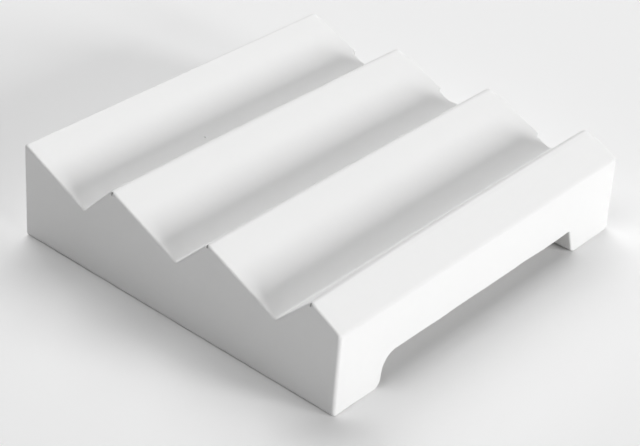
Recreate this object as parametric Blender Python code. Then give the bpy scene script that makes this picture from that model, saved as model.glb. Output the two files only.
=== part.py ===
"""Plaster frieze section: one cast block with saw-tooth ribs across its face and a hollow back.

The block lies on its back on Z = 0. The frieze runs along X, so its height is along Y, and every
rib runs the full height. Both ends of the run are cut square. The long edges lean out toward the
back, so that the casting leaves its mould. Lengths are in metres.
"""

import math

import bmesh
import bpy
from mathutils import Vector

# Driving dimensions of the block
FRIEZE_HEIGHT = 0.160
SECTION_LENGTH = 0.151
CREST_HEIGHT = 0.0389
FRONT_EDGE_HEIGHT = 0.0319
EDGE_DRAFT = math.radians(2.0)

# Ribs: each falls away in a long slope, and the next one rises steeply out of the trough.
# Heights and depths go to the sharp corners, before these are rounded.
CREST_COUNT = 4
RIB_PITCH = 0.0459
SLOPE_RUN = 0.0317
TROUGH_DEPTH = 0.0141
TROUGH_RADIUS = 0.0012
CREST_RADIUS = 0.0018
REAR_ARRIS_RADIUS = 0.0010
FRONT_ARRIS_RADIUS = 0.0018

# Hollow back: a channel between two bearing rims, its roof and walls a little different on each side
NEAR_RIM_WIDTH = 0.0235
FAR_RIM_WIDTH = 0.0240
NEAR_CHANNEL_DEPTH = 0.0117
FAR_CHANNEL_DEPTH = 0.0109
NEAR_WALL_DRAFT = math.radians(8.0)
FAR_WALL_DRAFT = math.radians(18.0)
NEAR_FILLET_RADIUS = 0.0065
FAR_FILLET_RADIUS = 0.0012
RIM_INNER_RADIUS = 0.0030
RIM_OUTER_RADIUS = 0.0015

# How finely round edges are divided
TROUGH_SEGMENTS = 8
ARRIS_SEGMENTS = 4
FILLET_SEGMENTS = 8
RIM_SEGMENTS = 5
SMOOTH_LIMIT = math.radians(20.0)

# The two prisms run this far past each other, so that no two of their faces coincide
OVERRUN = 0.010

# Points closer than this to a line count as on it
TOLERANCE = 0.00001

PLASTER_COLOUR = (0.86, 0.86, 0.85, 1.0)
PLASTER_ROUGHNESS = 0.85

HALF_LENGTH = SECTION_LENGTH / 2.0
HALF_HEIGHT = FRIEZE_HEIGHT / 2.0
TROUGH_HEIGHT = CREST_HEIGHT - TROUGH_DEPTH
TOP = CREST_HEIGHT + OVERRUN
TOP_HALF = HALF_HEIGHT - TOP * math.tan(EDGE_DRAFT)
NEAR_WALL_FOOT = HALF_HEIGHT - NEAR_RIM_WIDTH
FAR_WALL_FOOT = HALF_HEIGHT - FAR_RIM_WIDTH
NEAR_WALL_TOP = NEAR_WALL_FOOT - NEAR_CHANNEL_DEPTH * math.tan(NEAR_WALL_DRAFT)
FAR_WALL_TOP = FAR_WALL_FOOT - FAR_CHANNEL_DEPTH * math.tan(FAR_WALL_DRAFT)

# Corners of the section across the run, as Y and Z. The top ones lie past the crests.
NEAR_TOP = (-TOP_HALF, TOP)
NEAR_BASE = (-HALF_HEIGHT, 0.0)
NEAR_RIM = (-NEAR_WALL_FOOT, 0.0)
NEAR_ROOF = (-NEAR_WALL_TOP, NEAR_CHANNEL_DEPTH)
FAR_ROOF = (FAR_WALL_TOP, FAR_CHANNEL_DEPTH)
FAR_RIM = (FAR_WALL_FOOT, 0.0)
FAR_BASE = (HALF_HEIGHT, 0.0)
FAR_TOP = (TOP_HALF, TOP)
BACK_CORNERS = (NEAR_TOP, NEAR_BASE, NEAR_RIM, NEAR_ROOF, FAR_ROOF, FAR_RIM, FAR_BASE, FAR_TOP)


def clear_scene():
    """Remove every object that is in the scene."""
    for item in list(bpy.data.objects):
        bpy.data.objects.remove(item, do_unlink=True)


def crest_positions():
    """X of each crest. The first one stands on the cut end of the run."""
    return [-HALF_LENGTH + RIB_PITCH * index for index in range(CREST_COUNT)]


def trough_positions():
    """X of the line where each slope would meet the steep face of the next rib."""
    return [crest + SLOPE_RUN for crest in crest_positions()[:-1]]


def rib_outline():
    """Sharp outline of the ribbed face in X and Z, carried down past the back of the block."""
    outline = [Vector((-HALF_LENGTH, 0.0, -OVERRUN)), Vector((HALF_LENGTH, 0.0, -OVERRUN))]
    outline.append(Vector((HALF_LENGTH, 0.0, FRONT_EDGE_HEIGHT)))
    outline.append(Vector((crest_positions()[-1], 0.0, CREST_HEIGHT)))
    for trough, crest in zip(reversed(trough_positions()), reversed(crest_positions()[:-1])):
        outline.append(Vector((trough, 0.0, TROUGH_HEIGHT)))
        outline.append(Vector((crest, 0.0, CREST_HEIGHT)))
    return outline


def extrude_outline(outline, travel):
    """Return a bmesh of an outline drawn out by the given travel, centred on the outline's plane."""
    mesh = bmesh.new()
    corners = [mesh.verts.new(point - travel / 2.0) for point in outline]
    face = mesh.faces.new(corners)
    drawn = bmesh.ops.extrude_face_region(mesh, geom=[face], use_keep_orig=True)
    moved = [item for item in drawn["geom"] if isinstance(item, bmesh.types.BMVert)]
    bmesh.ops.translate(mesh, verts=moved, vec=travel)
    bmesh.ops.recalc_face_normals(mesh, faces=mesh.faces[:])
    return mesh


def edges_on_line(mesh, direction, places):
    """Edges that run along a direction through any of the given points, seen end on."""
    found = []
    for edge in mesh.edges:
        run = edge.verts[1].co - edge.verts[0].co
        if run.cross(direction).length > TOLERANCE:
            continue
        middle = (edge.verts[0].co + edge.verts[1].co) / 2.0
        if any((middle - place).cross(direction).length < TOLERANCE for place in places):
            found.append(edge)
    return found


def round_edges(mesh, edges, radius, segments):
    """Round edges that share one angle to a true radius."""
    half_turn = edges[0].calc_face_angle() / 2.0
    bmesh.ops.bevel(
        mesh,
        geom=edges,
        offset=radius * math.tan(half_turn),
        offset_type="OFFSET",
        affect="EDGES",
        segments=segments,
        profile=0.5,
        material=-1,
    )


def ribbed_prism():
    """The ribbed profile drawn out along Y, with round troughs and slightly eased crests."""
    along = Vector((0.0, 1.0, 0.0))
    mesh = extrude_outline(rib_outline(), along * (FRIEZE_HEIGHT + 2.0 * OVERRUN))
    crests = crest_positions()
    inner_crests = [Vector((x, 0.0, CREST_HEIGHT)) for x in crests[1:-1]]
    troughs = [Vector((x, 0.0, TROUGH_HEIGHT)) for x in trough_positions()]
    roundings = [
        (troughs, TROUGH_RADIUS, TROUGH_SEGMENTS),
        (inner_crests, CREST_RADIUS, ARRIS_SEGMENTS),
        ([Vector((crests[-1], 0.0, CREST_HEIGHT))], CREST_RADIUS, ARRIS_SEGMENTS),
        ([Vector((crests[0], 0.0, CREST_HEIGHT))], REAR_ARRIS_RADIUS, ARRIS_SEGMENTS),
        ([Vector((HALF_LENGTH, 0.0, FRONT_EDGE_HEIGHT))], FRONT_ARRIS_RADIUS, ARRIS_SEGMENTS),
    ]
    for places, radius, segments in roundings:
        round_edges(mesh, edges_on_line(mesh, along, places), radius, segments)
    return mesh


def hollow_prism():
    """The section across the run drawn out along X, with rounded rims and fillets."""
    along = Vector((1.0, 0.0, 0.0))
    outline = [Vector((0.0, *corner)) for corner in BACK_CORNERS]
    mesh = extrude_outline(outline, along * (SECTION_LENGTH + 2.0 * OVERRUN))
    roundings = [
        (NEAR_ROOF, NEAR_FILLET_RADIUS, FILLET_SEGMENTS),
        (FAR_ROOF, FAR_FILLET_RADIUS, FILLET_SEGMENTS),
        (NEAR_RIM, RIM_INNER_RADIUS, RIM_SEGMENTS),
        (FAR_RIM, RIM_INNER_RADIUS, RIM_SEGMENTS),
        (NEAR_BASE, RIM_OUTER_RADIUS, RIM_SEGMENTS),
        (FAR_BASE, RIM_OUTER_RADIUS, RIM_SEGMENTS),
    ]
    for corner, radius, segments in roundings:
        places = [Vector((0.0, *corner))]
        round_edges(mesh, edges_on_line(mesh, along, places), radius, segments)
    return mesh


def add_object(name, mesh):
    """Put a bmesh in the scene as an object and free it."""
    data = bpy.data.meshes.new(name)
    mesh.to_mesh(data)
    mesh.free()
    item = bpy.data.objects.new(name, data)
    bpy.context.scene.collection.objects.link(item)
    return item


def plaster():
    """Dead-white cast plaster with no sheen."""
    material = bpy.data.materials.new("cast_plaster")
    material.use_nodes = True
    shader = material.node_tree.nodes["Principled BSDF"]
    shader.inputs["Base Color"].default_value = PLASTER_COLOUR
    shader.inputs["Roughness"].default_value = PLASTER_ROUGHNESS
    shader.inputs["Metallic"].default_value = 0.0
    return material


def frieze_section():
    """The block: what the ribbed profile and the hollow section have in common."""
    guide = add_object("back_section_guide", hollow_prism())
    guide.hide_render = True
    guide.display_type = "WIRE"

    block = add_object("frieze_section", ribbed_prism())
    block.data.materials.append(plaster())
    block.data.shade_smooth()
    block.data.set_sharp_from_angle(angle=SMOOTH_LIMIT)
    common = block.modifiers.new("hollow_back", "BOOLEAN")
    common.operation = "INTERSECT"
    common.solver = "EXACT"
    common.object = guide
    return block


def main():
    """Build the frieze section in an empty scene."""
    clear_scene()
    frieze_section()


main()
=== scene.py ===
"""Looks of the plaster frieze section: a clean white casting on a pale floor under soft light.

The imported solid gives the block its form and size. Its copy gets eased arrises, the slight
unevenness of a hand-struck casting, crests that run a little out of line, worn corners, nicks,
broken trough mouths, pinholes and a matt plaster finish. Lengths are in metres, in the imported
part's own frame.
"""

import logging
import math
import random
from dataclasses import dataclass, field
from enum import Enum
from typing import ClassVar, Mapping, Sequence

import bmesh
import bpy
from mathutils import Euler, Matrix, Vector, noise
from mathutils.bvhtree import BVHTree


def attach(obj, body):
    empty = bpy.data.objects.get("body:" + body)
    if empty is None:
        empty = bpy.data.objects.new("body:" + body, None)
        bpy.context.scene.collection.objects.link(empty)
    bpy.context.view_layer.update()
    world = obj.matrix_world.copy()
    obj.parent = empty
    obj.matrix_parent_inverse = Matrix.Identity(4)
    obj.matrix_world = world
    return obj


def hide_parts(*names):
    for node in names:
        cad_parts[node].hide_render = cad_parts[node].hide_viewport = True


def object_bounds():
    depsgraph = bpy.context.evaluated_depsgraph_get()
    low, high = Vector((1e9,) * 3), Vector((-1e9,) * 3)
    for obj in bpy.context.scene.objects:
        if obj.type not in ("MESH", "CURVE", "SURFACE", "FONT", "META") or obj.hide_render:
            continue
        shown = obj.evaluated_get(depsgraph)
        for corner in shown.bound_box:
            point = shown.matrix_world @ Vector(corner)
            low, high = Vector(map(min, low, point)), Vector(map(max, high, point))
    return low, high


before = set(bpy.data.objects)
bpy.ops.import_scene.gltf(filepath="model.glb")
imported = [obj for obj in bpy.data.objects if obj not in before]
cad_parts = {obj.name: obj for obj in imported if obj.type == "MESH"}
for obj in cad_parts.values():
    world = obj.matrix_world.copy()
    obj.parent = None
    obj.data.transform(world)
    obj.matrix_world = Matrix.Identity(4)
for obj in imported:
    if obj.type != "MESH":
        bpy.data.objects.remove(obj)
CAD_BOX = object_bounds()

NODE_NAME = "frieze_section"

MILLIMETRE = 0.001

LOG = logging.getLogger("frieze")


class Signal:
    """A shader socket that takes part in Python arithmetic."""

    def __init__(self, bench: "NodeBench", socket: bpy.types.NodeSocket) -> None:
        """Keep the socket and the bench that adds nodes for it."""
        self.bench = bench
        self.socket = socket

    def combine(self, operation: str, first: "Signal | float", second: "Signal | float") -> "Signal":
        """Add a Math node on two values.

        Args:
            operation: The Math node's operation.
            first: The value of its first input.
            second: The value of its second input.

        Returns:
            The node's result.
        """
        node = self.bench.add("ShaderNodeMath", {"operation": operation}, {0: first, 1: second})
        return Signal(self.bench, node.outputs[0])

    def __add__(self, other: "Signal | float") -> "Signal":
        """Return this plus other."""
        return self.combine("ADD", self, other)

    __radd__ = __add__

    def __sub__(self, other: "Signal | float") -> "Signal":
        """Return this minus other."""
        return self.combine("SUBTRACT", self, other)

    def __rsub__(self, other: float) -> "Signal":
        """Return other minus this."""
        return self.combine("SUBTRACT", other, self)

    def __mul__(self, other: "Signal | float") -> "Signal":
        """Return this times other."""
        return self.combine("MULTIPLY", self, other)

    __rmul__ = __mul__

    def __abs__(self) -> "Signal":
        """Return this without its sign."""
        return self.combine("ABSOLUTE", self, 0.0)

    def __or__(self, other: "Signal") -> "Signal":
        """Return the larger of this and other, which joins two masks."""
        return self.combine("MAXIMUM", self, other)

    def above(self, edge: float, width: float) -> "Signal":
        """Turn this into a mask with a soft step.

        Args:
            edge: The value at which the mask is half way up.
            width: How wide the step is.

        Returns:
            0 below the step and 1 above it.
        """
        node = self.bench.add(
            "ShaderNodeMapRange",
            {"interpolation_type": "SMOOTHSTEP"},
            {"Value": self, "From Min": edge - width / 2.0, "From Max": edge + width / 2.0},
        )
        return Signal(self.bench, node.outputs["Result"])


class NodeBench:
    """Adds nodes to one material and wires them up."""

    def __init__(self, material: bpy.types.Material) -> None:
        """Start on a material's own node tree, emptied."""
        material.use_nodes = True
        self.tree = material.node_tree
        self.tree.nodes.clear()
        self.place = self.add("ShaderNodeTexCoord").outputs["Object"]

    def add(
        self,
        kind: str,
        settings: Mapping[str, object] | None = None,
        inputs: Mapping[str | int, object] | None = None,
    ) -> bpy.types.Node:
        """Add one node.

        Args:
            kind: The node's type.
            settings: Values of the node's own properties. They are set first.
            inputs: A value, socket or Signal for each named or numbered input.

        Returns:
            The new node.
        """
        node = self.tree.nodes.new(kind)
        for name, value in (settings or {}).items():
            setattr(node, name, value)
        for key, value in (inputs or {}).items():
            if isinstance(value, Signal):
                value = value.socket
            if isinstance(value, bpy.types.NodeSocket):
                self.tree.links.new(value, node.inputs[key])
            else:
                node.inputs[key].default_value = value
        return node

    def axes(self) -> tuple[Signal, Signal, Signal]:
        """Return the X, Y and Z of the Object coordinates."""
        node = self.add("ShaderNodeSeparateXYZ", {}, {0: self.place})
        return tuple(Signal(self, output) for output in node.outputs)

    def cloud(
        self,
        size: float,
        detail: float = 2.0,
        stretch: tuple[float, float, float] = (1.0, 1.0, 1.0),
    ) -> Signal:
        """Return soft noise about 0.

        Args:
            size: The size of one blotch, in metres.
            detail: How many finer layers are added.
            stretch: How many times longer a blotch is along X, Y and Z.

        Returns:
            A value that swings between about -0.5 and 0.5.
        """
        shrink = tuple(1.0 / length for length in stretch)
        squeezed = self.add("ShaderNodeVectorMath", {"operation": "MULTIPLY"}, {0: self.place, 1: shrink})
        node = self.add(
            "ShaderNodeTexNoise",
            {"noise_dimensions": "3D"},
            {"Vector": squeezed.outputs["Vector"], "Scale": 1.0 / size, "Detail": detail, "Roughness": 0.5},
        )
        return Signal(self, node.outputs["Fac"]) - 0.5

    def blend(self, mask: Signal, below: Sequence[float], above: Sequence[float]) -> bpy.types.NodeSocket:
        """Blend two tints.

        Args:
            mask: 0 where the first tint shows and 1 where the second does.
            below: The first tint's red, green and blue.
            above: The second tint's red, green and blue.

        Returns:
            The colour socket.
        """
        node = self.add("ShaderNodeMix", {"data_type": "RGBA"}, {0: mask, 6: (*below, 1.0), 7: (*above, 1.0)})
        return node.outputs[2]

    def shaded(self, tint: bpy.types.NodeSocket | Sequence[float], shade: Signal) -> bpy.types.NodeSocket:
        """Scale a tint by a shade.

        Args:
            tint: The tint, as a socket or as its red, green and blue.
            shade: The value that brightens or darkens it.

        Returns:
            The colour socket.
        """
        node = self.add("ShaderNodeVectorMath", {"operation": "SCALE"}, {0: tint, "Scale": shade})
        return node.outputs["Vector"]


@dataclass(frozen=True)
class PlasterFinish:
    """Matt white casting plaster, smooth from the mould and rougher on its struck back."""

    name: str = "cast_plaster"
    tint: tuple[float, float, float] = (0.86, 0.86, 0.857)
    back_tint: tuple[float, float, float] = (0.825, 0.822, 0.812)
    roughness: float = 0.86
    back_roughness: float = 0.95
    specular: float = 0.25
    speckle_roughness: float = 0.08
    mottling: float = 0.014
    back_mottling: float = 0.028
    grain_size: float = 0.5 * MILLIMETRE
    speckle_size: float = 2.2 * MILLIMETRE
    blotch_size: float = 22.0 * MILLIMETRE
    stroke_size: float = 0.9 * MILLIMETRE
    stroke_length: float = 30.0
    fine_detail: float = 3.0
    relief: float = 0.03 * MILLIMETRE
    relief_strength: float = 0.3
    speckle_relief: float = 2.0
    stroke_relief: float = 3.0
    back_relief: float = 5.0
    rim_level: float = 0.3 * MILLIMETRE
    hollow_half: float = 56.5 * MILLIMETRE
    hollow_roof: float = 11.7 * MILLIMETRE
    end_margin: float = 0.5 * MILLIMETRE
    soft_edge: float = 0.4 * MILLIMETRE

    def back_mask(self, bench: NodeBench) -> Signal:
        """Find the struck back.

        Args:
            bench: The material's bench.

        Returns:
            1 on the undersides of the rims and all over the hollow, and 0 on the moulded faces.
        """
        x, y, z = bench.axes()
        rims = 1.0 - z.above(self.rim_level, self.soft_edge)
        across = 1.0 - abs(y).above(self.hollow_half, self.soft_edge)
        below = 1.0 - z.above(self.hollow_roof, self.soft_edge)
        inside = 1.0 - abs(x).above(CAD_BOX[1][0] - self.end_margin, self.soft_edge)
        return rims | across * below * inside

    def build(self) -> bpy.types.Material:
        """Make the material.

        Returns:
            The finished material.
        """
        material = bpy.data.materials.new(self.name)
        bench = NodeBench(material)
        back = self.back_mask(bench)
        broad = bench.cloud(self.blotch_size)
        fine = bench.cloud(self.speckle_size, self.fine_detail)
        grain = bench.cloud(self.grain_size)
        strokes = bench.cloud(self.stroke_size, self.fine_detail, (self.stroke_length, 1.0, 1.0))
        shade = 1.0 + (broad + fine) * self.mottling + strokes * back * self.back_mottling
        rougher = back * (self.back_roughness - self.roughness) + fine * self.speckle_roughness
        moulded = grain + fine * self.speckle_relief
        struck = (strokes * self.stroke_relief + fine) * self.back_relief
        bump = bench.add(
            "ShaderNodeBump",
            {},
            {"Strength": self.relief_strength, "Distance": self.relief, "Height": moulded + struck * back},
        )
        shader = bench.add(
            "ShaderNodeBsdfPrincipled",
            {},
            {
                "Base Color": bench.shaded(bench.blend(back, self.tint, self.back_tint), shade),
                "Roughness": self.roughness + rougher,
                "Metallic": 0.0,
                "Specular IOR Level": self.specular,
                "Normal": bump.outputs["Normal"],
            },
        )
        bench.add("ShaderNodeOutputMaterial", {}, {"Surface": shader.outputs["BSDF"]})
        return material


@dataclass(frozen=True)
class FloorFinish:
    """Plain pale studio floor."""

    name: str = "pale_floor"
    tint: tuple[float, float, float] = (0.95, 0.95, 0.95)
    roughness: float = 0.95
    drift_size: float = 0.4
    drift: float = 0.01

    def build(self) -> bpy.types.Material:
        """Make the material.

        Returns:
            The finished material.
        """
        material = bpy.data.materials.new(self.name)
        bench = NodeBench(material)
        shader = bench.add(
            "ShaderNodeBsdfPrincipled",
            {},
            {
                "Base Color": bench.shaded(self.tint, 1.0 + bench.cloud(self.drift_size) * self.drift),
                "Roughness": self.roughness,
                "Specular IOR Level": 0.0,
            },
        )
        bench.add("ShaderNodeOutputMaterial", {}, {"Surface": shader.outputs["BSDF"]})
        return material


@dataclass(frozen=True)
class RibLines:
    """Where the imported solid's crests and troughs run, read from its mesh.

    Attributes:
        crests: The near end of each crest, from the rear end of the run to its front.
        troughs: The near end of each trough, in the same order.
        crest_band: How far below the highest point a crest's own points may lie.
        line_gap: How far apart along X the points of two different crests lie at least.
        level_digits: How many decimals tell two levels apart.
    """

    crests: tuple[Vector, ...]
    troughs: tuple[Vector, ...]
    crest_band: ClassVar[float] = 1.0 * MILLIMETRE
    line_gap: ClassVar[float] = 5.0 * MILLIMETRE
    level_digits: ClassVar[int] = 5

    @classmethod
    def read(cls, mesh: bmesh.types.BMesh) -> "RibLines":
        """Find the lines.

        Args:
            mesh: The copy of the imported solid.

        Returns:
            The lines.
        """
        crest_level = max(vert.co.z for vert in mesh.verts)
        crests = cls.gather([vert.co for vert in mesh.verts if vert.co.z > crest_level - cls.crest_band])
        bays = zip(crests, crests[1:])
        troughs = [cls.lowest(mesh, start.x, end.x) for start, end in bays]
        return cls(tuple(crests), tuple(troughs))

    @classmethod
    def gather(cls, points: Sequence[Vector]) -> list[Vector]:
        """Take points that lie close together along X as one line.

        Args:
            points: The vertices near the crests.

        Returns:
            For each line, the mean X, the least Y and the greatest Z of its points.
        """
        groups: list[list[Vector]] = []
        for point in sorted(points, key=lambda point: point.x):
            if groups and point.x - groups[-1][-1].x < cls.line_gap:
                groups[-1].append(point)
            else:
                groups.append([point])
        return [
            Vector((sum(p.x for p in group) / len(group), min(p.y for p in group), max(p.z for p in group)))
            for group in groups
        ]

    @classmethod
    def lowest(cls, mesh: bmesh.types.BMesh, start: float, end: float) -> Vector:
        """Find the bottom of the trough between two crests.

        Args:
            mesh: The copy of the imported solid.
            start: X of the crest before it.
            end: X of the crest after it.

        Returns:
            The near end of its lowest line.
        """
        half_height = CAD_BOX[1][2] / 2.0
        inside = [vert.co for vert in mesh.verts if start < vert.co.x < end and vert.co.z > half_height]
        return min(inside, key=lambda point: (round(point.z, cls.level_digits), point.y)).copy()


class Skin(Enum):
    """A hidden side with pinholes, by the way that it faces."""

    BACK = (0.0, 0.0, -1.0)
    FAR_EDGE = (0.0, 1.0, 0.0)
    REAR_END = (-1.0, 0.0, 0.0)


@dataclass(frozen=True)
class WornCorner:
    """A convex corner, eased like every arris, that wear has rounded further.

    Attributes:
        axes: The two axes across the corner.
        place: Where the two flat sides would meet, along those axes.
        toward: The way that each side faces, as 1 or -1.
        radius: The radius of the worn round.
        eased: The radius that the arris already has.
        lean: How far the second side moves along its axis for each metre up.
        steps: How many grid planes each side of the round gets.
    """

    axes: tuple[int, int]
    place: tuple[float, float]
    toward: tuple[int, int]
    radius: float
    eased: float
    lean: float = 0.0
    steps: int = 5

    def levels(self) -> list[tuple[int, float]]:
        """Return the axis and the level of each plane that the grid needs here."""
        return [
            (axis, place - way * self.radius * step / self.steps)
            for axis, place, way in zip(self.axes, self.place, self.toward)
            for step in range(1, self.steps + 1)
        ]

    def eased_distance(self, way: Vector) -> float:
        """Measure from the round's centre to the eased corner that it replaces.

        Args:
            way: The direction, with both parts positive.

        Returns:
            The distance to the flat side that it meets, or to the eased arris.
        """
        distance = self.radius / max(way)
        inset = self.radius - self.eased
        if distance * min(way) <= inset:
            return distance
        along = way.x * inset + way.y * inset
        return along + math.sqrt(along**2 - 2.0 * inset**2 + self.eased**2)

    def wear(self, point: Vector) -> None:
        """Move a point toward the round's centre by as much as its direction needs.

        Args:
            point: A vertex's place, changed in place.
        """
        sides = (self.place[0], self.place[1] + self.lean * point.z)
        centre = [side - toward * self.radius for side, toward in zip(sides, self.toward)]
        arms = list(zip(self.axes, centre, self.toward))
        reach = Vector([(point[axis] - middle) * toward for axis, middle, toward in arms])
        if min(reach) <= 0.0:
            return
        reach *= self.radius / self.eased_distance(reach.normalized())
        for (axis, middle, toward), length in zip(arms, reach):
            point[axis] = middle + toward * length


@dataclass
class Hollows:
    """Ball-shaped cutters for nicks, chips and pinholes."""

    mesh: bmesh.types.BMesh = field(default_factory=bmesh.new)
    small: float = 1.0 * MILLIMETRE
    small_fineness: int = 2
    large_fineness: int = 4

    def add(self, centre: Vector, radii: tuple[float, float, float], lean: float = 0.0) -> None:
        """Add one cutter, with fewer faces if it is small.

        Args:
            centre: Its middle.
            radii: Its radii along X, Y and Z.
            lean: How far it is turned about Y, in radians.
        """
        fineness = self.small_fineness if max(radii) < self.small else self.large_fineness
        ball = bmesh.ops.create_icosphere(self.mesh, subdivisions=fineness, radius=1.0)["verts"]
        bmesh.ops.scale(self.mesh, verts=ball, vec=radii)
        bmesh.ops.rotate(self.mesh, verts=ball, cent=(0.0, 0.0, 0.0), matrix=Matrix.Rotation(lean, 3, "Y"))
        bmesh.ops.translate(self.mesh, verts=ball, vec=centre)


@dataclass
class RibbedCasting:
    """The frieze section itself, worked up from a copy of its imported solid.

    Attributes:
        swell: How far the faces swell or sink at most.
        nick_drop: How far below a crest's near end its nick lies.
        chip_offset: How far back from a trough's bottom line the middle of its broken mouth lies.
        chip_rise: How far above that line it lies.
        step_offset: How far back the small step at the mouth's upper edge lies.
        step_rise: How far above the line the step lies.
        chip_shifts: How far along X each mouth lies down the slope from those places.
        crest_drifts: How far each crest after the first lies up the slope from where the solid has
            it, at its near end, its middle and its far end.
        crest_front: How far in front of a crest's line its rounded top reaches.
        facing_down: The normal's Z under which a point looks down.
        flat_facing: The least cosine between a face's normal and its side's way for a pinhole.
    """

    name: str = "frieze_casting"
    finish: PlasterFinish = field(default_factory=PlasterFinish)
    merge_gap: float = 0.01 * MILLIMETRE
    flat_limit: float = math.radians(0.5)
    arris_limit: float = math.radians(35.0)
    arris_radius: float = 0.75 * MILLIMETRE
    arris_segments: int = 3
    grid: float = 2.5 * MILLIMETRE
    swell: float = 0.05 * MILLIMETRE
    swell_size: float = 18.0 * MILLIMETRE
    back_swell: float = 0.25 * MILLIMETRE
    back_swell_size: float = 9.0 * MILLIMETRE
    facing_down: float = -0.5
    front_edge_radius: float = 1.25 * MILLIMETRE
    near_tip_radius: float = 1.0 * MILLIMETRE
    far_tip_radius: float = 2.4 * MILLIMETRE
    nick_radii: tuple[float, float, float] = (0.42 * MILLIMETRE, 1.6 * MILLIMETRE, 0.65 * MILLIMETRE)
    nick_drop: float = 0.8 * MILLIMETRE
    chip_radii: tuple[float, float, float] = (4.4 * MILLIMETRE, 2.7 * MILLIMETRE, 3.4 * MILLIMETRE)
    chip_offset: float = 5.2 * MILLIMETRE
    chip_rise: float = 2.2 * MILLIMETRE
    step_radii: tuple[float, float, float] = (1.6 * MILLIMETRE, 2.7 * MILLIMETRE, 3.0 * MILLIMETRE)
    step_offset: float = 8.0 * MILLIMETRE
    step_rise: float = 3.5 * MILLIMETRE
    chip_shifts: tuple[float, ...] = (1.0 * MILLIMETRE, 0.0, 2.0 * MILLIMETRE)
    slope_lean: float = math.radians(24.0)
    crest_drifts: tuple[tuple[float, float, float], ...] = (
        (0.43 * MILLIMETRE, 0.58 * MILLIMETRE, 0.23 * MILLIMETRE),
        (-0.12 * MILLIMETRE, 0.33 * MILLIMETRE, 0.08 * MILLIMETRE),
        (0.0, 0.95 * MILLIMETRE, 0.95 * MILLIMETRE),
    )
    crest_front: float = 0.8 * MILLIMETRE
    pit_places: tuple[tuple[float, float], ...] = ((-48.0 * MILLIMETRE, -14.3 * MILLIMETRE),)
    pit_radius: float = 0.55 * MILLIMETRE
    pinholes: tuple[tuple[Skin, int], ...] = ((Skin.BACK, 46), (Skin.FAR_EDGE, 8), (Skin.REAR_END, 6))
    pinhole_radius: tuple[float, float] = (0.22 * MILLIMETRE, 0.6 * MILLIMETRE)
    flat_facing: float = 0.99
    seed: int = 11
    shading_weight: int = 50

    def copy_solid(self) -> bmesh.types.BMesh:
        """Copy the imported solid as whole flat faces.

        Returns:
            A closed mesh whose coplanar triangles are merged.
        """
        mesh = bmesh.new()
        mesh.from_mesh(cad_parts[NODE_NAME].data)
        bmesh.ops.remove_doubles(mesh, verts=mesh.verts[:], dist=self.merge_gap)
        bmesh.ops.dissolve_limit(
            mesh,
            angle_limit=self.flat_limit,
            use_dissolve_boundaries=False,
            verts=mesh.verts[:],
            edges=mesh.edges[:],
        )
        return mesh

    def ease_arrises(self, mesh: bmesh.types.BMesh) -> None:
        """Round the sharp edges left by the mould and the saw.

        Args:
            mesh: The casting's mesh, changed in place.
        """
        sharp = [edge for edge in mesh.edges if edge.calc_face_angle(0.0) > self.arris_limit]
        bmesh.ops.bevel(
            mesh,
            geom=sharp,
            offset=self.arris_radius,
            offset_type="OFFSET",
            affect="EDGES",
            segments=self.arris_segments,
            profile=0.5,
            material=-1,
            clamp_overlap=True,
        )

    def worn_corners(self, ribs: RibLines) -> list[WornCorner]:
        """Place the corners that are rounder than the arrises.

        Args:
            ribs: The crests and troughs.

        Returns:
            The front end's near edge and both ends of the crests.
        """
        tip = ribs.crests[0]
        foot = CAD_BOX[0][1]
        front = CAD_BOX[1][0]
        lean = (tip.y - foot) / tip.z
        return [
            WornCorner((0, 1), (front, foot), (1, -1), self.front_edge_radius, self.arris_radius, lean),
            WornCorner((1, 2), (tip.y, tip.z), (-1, 1), self.near_tip_radius, self.arris_radius),
            WornCorner((1, 2), (-tip.y, tip.z), (1, 1), self.far_tip_radius, self.arris_radius),
        ]

    def lay_grid(self, mesh: bmesh.types.BMesh, corners: Sequence[WornCorner]) -> None:
        """Divide the faces by evenly spaced planes, and by closer ones where they are worn.

        Args:
            mesh: The casting's mesh, changed in place.
            corners: The worn corners.
        """
        low, high = CAD_BOX
        levels = [level for corner in corners for level in corner.levels()]
        for axis in range(3):
            span = high[axis] - low[axis]
            count = round(span / self.grid)
            levels += [(axis, low[axis] + span * index / count) for index in range(1, count)]
        for axis, level in levels:
            normal = Vector((0.0, 0.0, 0.0))
            normal[axis] = 1.0
            bmesh.ops.bisect_plane(
                mesh,
                geom=mesh.verts[:] + mesh.edges[:] + mesh.faces[:],
                dist=self.merge_gap,
                plane_co=normal * level,
                plane_no=normal,
            )

    def swell_faces(self, mesh: bmesh.types.BMesh) -> None:
        """Give the faces the slight unevenness of a hand-made casting, more so on the hollow's roof.

        Args:
            mesh: The casting's mesh, changed in place.
        """
        mesh.normal_update()
        moves = []
        for vert in mesh.verts:
            depth = self.swell * noise.noise(vert.co / self.swell_size)
            if vert.normal.z < self.facing_down and vert.co.z > self.merge_gap:
                depth += self.back_swell * noise.noise(vert.co / self.back_swell_size)
            moves.append(vert.normal * depth)
        for vert, move in zip(mesh.verts, moves):
            vert.co += move
            vert.co.z = max(vert.co.z, 0.0)

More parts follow.
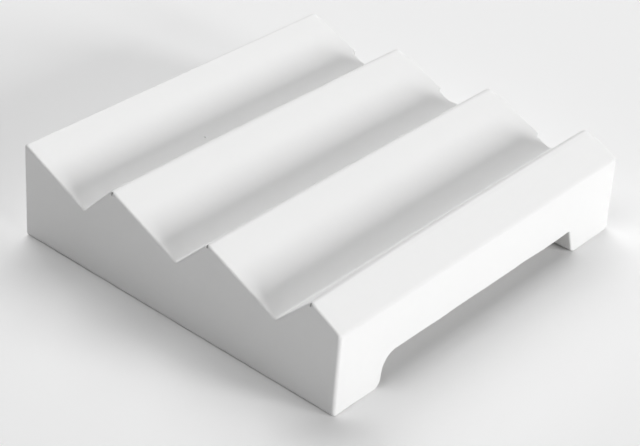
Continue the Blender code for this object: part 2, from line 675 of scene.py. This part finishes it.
    def drift_crests(self, mesh: bmesh.types.BMesh, ribs: RibLines) -> None:
        """Let the crests run a little out of line, and draw the steep faces along.

        Each crest's drift follows a parabola through its values at both ends and the middle.

        Args:
            mesh: The casting's mesh, changed in place.
            ribs: The crests and troughs.
        """
        up_slope = Vector((-math.cos(self.slope_lean), 0.0, math.sin(self.slope_lean)))
        for crest, trough, (near, middle, far) in zip(ribs.crests[1:], ribs.troughs, self.crest_drifts):
            for vert in mesh.verts:
                if trough.x < vert.co.x < crest.x + self.crest_front and vert.co.z > trough.z:
                    height = (vert.co.z - trough.z) / (crest.z - trough.z)
                    along = vert.co.y / -crest.y
                    drift = middle + (far - near) / 2.0 * along + ((far + near) / 2.0 - middle) * along**2
                    vert.co += up_slope * (height * drift)

    def wear_corners(self, mesh: bmesh.types.BMesh, corners: Sequence[WornCorner]) -> None:
        """Round the worn corners.

        Args:
            mesh: The casting's mesh, changed in place.
            corners: The worn corners.
        """
        for corner in corners:
            for vert in mesh.verts:
                corner.wear(vert.co)

    def pinhole_places(
        self,
        mesh: bmesh.types.BMesh,
        skin: Skin,
        count: int,
        dice: random.Random,
    ) -> list[Vector]:
        """Choose where one side's pinholes are.

        Args:
            mesh: The casting's mesh.
            skin: The side.
            count: How many pinholes it gets.
            dice: The source of chance.

        Returns:
            Points on the side's flat faces.
        """
        way = Vector(skin.value)
        least = (self.grid / 2.0) ** 2
        faces = [
            face
            for face in mesh.faces
            if face.normal.dot(way) > self.flat_facing and face.calc_area() > least
        ]
        chosen = dice.sample(sorted(faces, key=lambda face: face.index), count)
        return [face.calc_center_median() for face in chosen]

    def cut_hollows(self, mesh: bmesh.types.BMesh, ribs: RibLines) -> bmesh.types.BMesh:
        """Shape the cutters of every nick, chip and pinhole.

        Args:
            mesh: The casting's mesh.
            ribs: The crests and troughs.

        Returns:
            All cutters as one mesh.
        """
        dice = random.Random(self.seed)
        hollows = Hollows()
        for crest in ribs.crests[1:]:
            hollows.add(crest - Vector((0.0, 0.0, self.nick_drop)), self.nick_radii)
        for trough, shift in zip(ribs.troughs, self.chip_shifts):
            far_end = Vector((trough.x + shift, -trough.y, trough.z - shift * math.tan(self.slope_lean)))
            chip = far_end + Vector((-self.chip_offset, 0.0, self.chip_rise))
            step = far_end + Vector((-self.step_offset, 0.0, self.step_rise))
            hollows.add(chip, self.chip_radii, self.slope_lean)
            hollows.add(step, self.step_radii, self.slope_lean)
        surface = BVHTree.FromBMesh(mesh)
        for x, y in self.pit_places:
            above = Vector((x, y, 2.0 * CAD_BOX[1][2]))
            pit = surface.ray_cast(above, Vector((0.0, 0.0, -1.0)))[0]
            hollows.add(pit, (self.pit_radius, self.pit_radius, self.pit_radius))
        for skin, count in self.pinholes:
            for place in self.pinhole_places(mesh, skin, count, dice):
                radius = dice.uniform(*self.pinhole_radius)
                hollows.add(place, (radius, radius, radius))
        return hollows.mesh

    def carve(self, mesh: bmesh.types.BMesh, cutters: bmesh.types.BMesh) -> bpy.types.Mesh:
        """Take the cutters out of the casting.

        Args:
            mesh: The casting's mesh, freed afterwards.
            cutters: The cutters' mesh, freed afterwards.

        Returns:
            The carved mesh.
        """
        items = []
        for name, part in (("casting_blank", mesh), ("casting_cutters", cutters)):
            data = bpy.data.meshes.new(name)
            part.to_mesh(data)
            part.free()
            item = bpy.data.objects.new(name, data)
            bpy.context.scene.collection.objects.link(item)
            items.append(item)
        blank, cutter = items
        cut = blank.modifiers.new("hollows", "BOOLEAN")
        cut.operation = "DIFFERENCE"
        cut.solver = "EXACT"
        cut.use_self = True
        cut.object = cutter
        shape = blank.evaluated_get(bpy.context.evaluated_depsgraph_get())
        carved = bpy.data.meshes.new_from_object(shape)
        carved.name = self.name
        for item in items:
            bpy.data.objects.remove(item, do_unlink=True)
        return carved

    def build(self) -> bpy.types.Object:
        """Build the casting and dress it.

        Returns:
            The casting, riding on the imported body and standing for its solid.
        """
        mesh = self.copy_solid()
        ribs = RibLines.read(mesh)
        corners = self.worn_corners(ribs)
        self.ease_arrises(mesh)
        self.lay_grid(mesh, corners)
        self.swell_faces(mesh)
        self.drift_crests(mesh, ribs)
        self.wear_corners(mesh, corners)
        data = self.carve(mesh, self.cut_hollows(mesh, ribs))
        data.shade_smooth()
        data.set_sharp_from_angle(angle=self.arris_limit)
        piece = bpy.data.objects.new(self.name, data)
        bpy.context.scene.collection.objects.link(piece)
        weighted = piece.modifiers.new("even_shading", "WEIGHTED_NORMAL")
        weighted.weight = self.shading_weight
        weighted.keep_sharp = True
        data.materials.append(self.finish.build())
        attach(piece, "root")
        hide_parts(NODE_NAME)
        LOG.info("%s: %d faces", piece.name, len(data.polygons))
        return piece


@dataclass(frozen=True)
class SoftBox:
    """A rectangular studio light that faces the casting.

    Attributes:
        name: The light's name.
        azimuth: The way to the light round the casting, in degrees from +X toward +Y.
        elevation: The angle to the light above the floor, in degrees.
        distance: How far away it hangs.
        width: Its width.
        height: Its height.
        watts: Its power.
    """

    name: str
    azimuth: float
    elevation: float
    distance: float
    width: float
    height: float
    watts: float

    def build(self) -> bpy.types.Object:
        """Hang the light.

        Returns:
            The light, turned to face the frame's origin.
        """
        lamp = bpy.data.lights.new(self.name, "AREA")
        lamp.shape = "RECTANGLE"
        lamp.size = self.width
        lamp.size_y = self.height
        lamp.energy = self.watts
        item = bpy.data.objects.new(self.name, lamp)
        bpy.context.scene.collection.objects.link(item)
        turn = math.radians(self.azimuth)
        rise = math.radians(self.elevation)
        back = Vector((math.cos(turn) * math.cos(rise), math.sin(turn) * math.cos(rise), math.sin(rise)))
        item.location = back * self.distance
        item.rotation_euler = back.to_track_quat("Z", "Y").to_euler()
        return item


@dataclass
class Studio:
    """The floor, the lights and the camera.

    Attributes:
        azimuth: The way that the camera looks, in degrees from +Y toward -X.
        elevation: How far it looks down, in degrees.
        roll: How far it is turned about its own line of sight, in degrees.
        distance: How far it stands from the point that it looks at.
        aim: That point.
        lens: Its focal length, in millimetres of film.
        film_width: The width of its film, in the same measure.
        clip_start: The least distance that it sees.
    """

    floor_size: float = 8.0
    floor_cells: int = 2
    floor_finish: FloorFinish = field(default_factory=FloorFinish)
    azimuth: float = 39.683
    elevation: float = 32.930
    roll: float = 3.202
    distance: float = 0.62923
    aim: tuple[float, float, float] = (0.00401, -0.00601, 0.00841)
    lens: float = 95.41
    film_width: float = 36.0
    clip_start: float = 0.01
    lights: tuple[SoftBox, ...] = (
        SoftBox(
            "wide_side_light", azimuth=18.0, elevation=16.0, distance=4.0, width=1.1, height=1.2, watts=76.0
        ),
        SoftBox(
            "narrow_side_light", azimuth=-7.5, elevation=16.0, distance=4.0, width=0.6, height=1.2, watts=43.0
        ),
        SoftBox("back_light", azimuth=141.0, elevation=51.0, distance=3.0, width=2.3, height=2.3, watts=61.0),
        SoftBox("near_fill", azimuth=-90.0, elevation=62.0, distance=3.0, width=1.2, height=1.2, watts=17.6),
        SoftBox("far_fill", azimuth=90.0, elevation=40.0, distance=3.0, width=1.2, height=1.2, watts=6.5),
    )

    def lay_floor(self) -> bpy.types.Object:
        """Lay the floor under the casting.

        Returns:
            The floor.
        """
        mesh = bmesh.new()
        cells = self.floor_cells
        bmesh.ops.create_grid(mesh, x_segments=cells, y_segments=cells, size=self.floor_size / 2.0)
        data = bpy.data.meshes.new("floor")
        mesh.to_mesh(data)
        mesh.free()
        floor = bpy.data.objects.new("floor", data)
        bpy.context.scene.collection.objects.link(floor)
        data.materials.append(self.floor_finish.build())
        return floor

    def light(self) -> None:
        """Hang the soft boxes in a room that gives no light of its own."""
        for box in self.lights:
            box.build()
            LOG.info("light %s", box.name)
        world = bpy.data.worlds.new("studio_air")
        world.use_nodes = True
        world.node_tree.nodes["Background"].inputs["Strength"].default_value = 0.0
        bpy.context.scene.world = world

    def place_camera(self) -> bpy.types.Object:
        """Stand the camera where the photograph was taken from.

        Returns:
            The camera.
        """
        lens = bpy.data.cameras.new("camera")
        lens.lens = self.lens
        lens.sensor_width = self.film_width
        lens.clip_start = self.clip_start
        camera = bpy.data.objects.new("camera", lens)
        bpy.context.scene.collection.objects.link(camera)
        turn = Euler((math.radians(90.0 - self.elevation), 0.0, math.radians(self.azimuth))).to_matrix()
        roll = Matrix.Rotation(math.radians(self.roll), 3, "Z")
        facing = turn @ roll
        place = Vector(self.aim) + facing @ Vector((0.0, 0.0, self.distance))
        camera.matrix_world = Matrix.Translation(place) @ facing.to_4x4()
        bpy.context.scene.camera = camera
        return camera

    def build(self) -> None:
        """Set up the whole studio."""
        self.lay_floor()
        self.light()
        self.place_camera()
        bpy.context.scene.view_settings.view_transform = "Standard"


def main() -> None:
    """Build the casting, then the studio round it."""
    logging.basicConfig(level=logging.INFO, format="%(name)s: %(message)s")
    RibbedCasting().build()
    Studio().build()


if __name__ == "__main__":
    main()
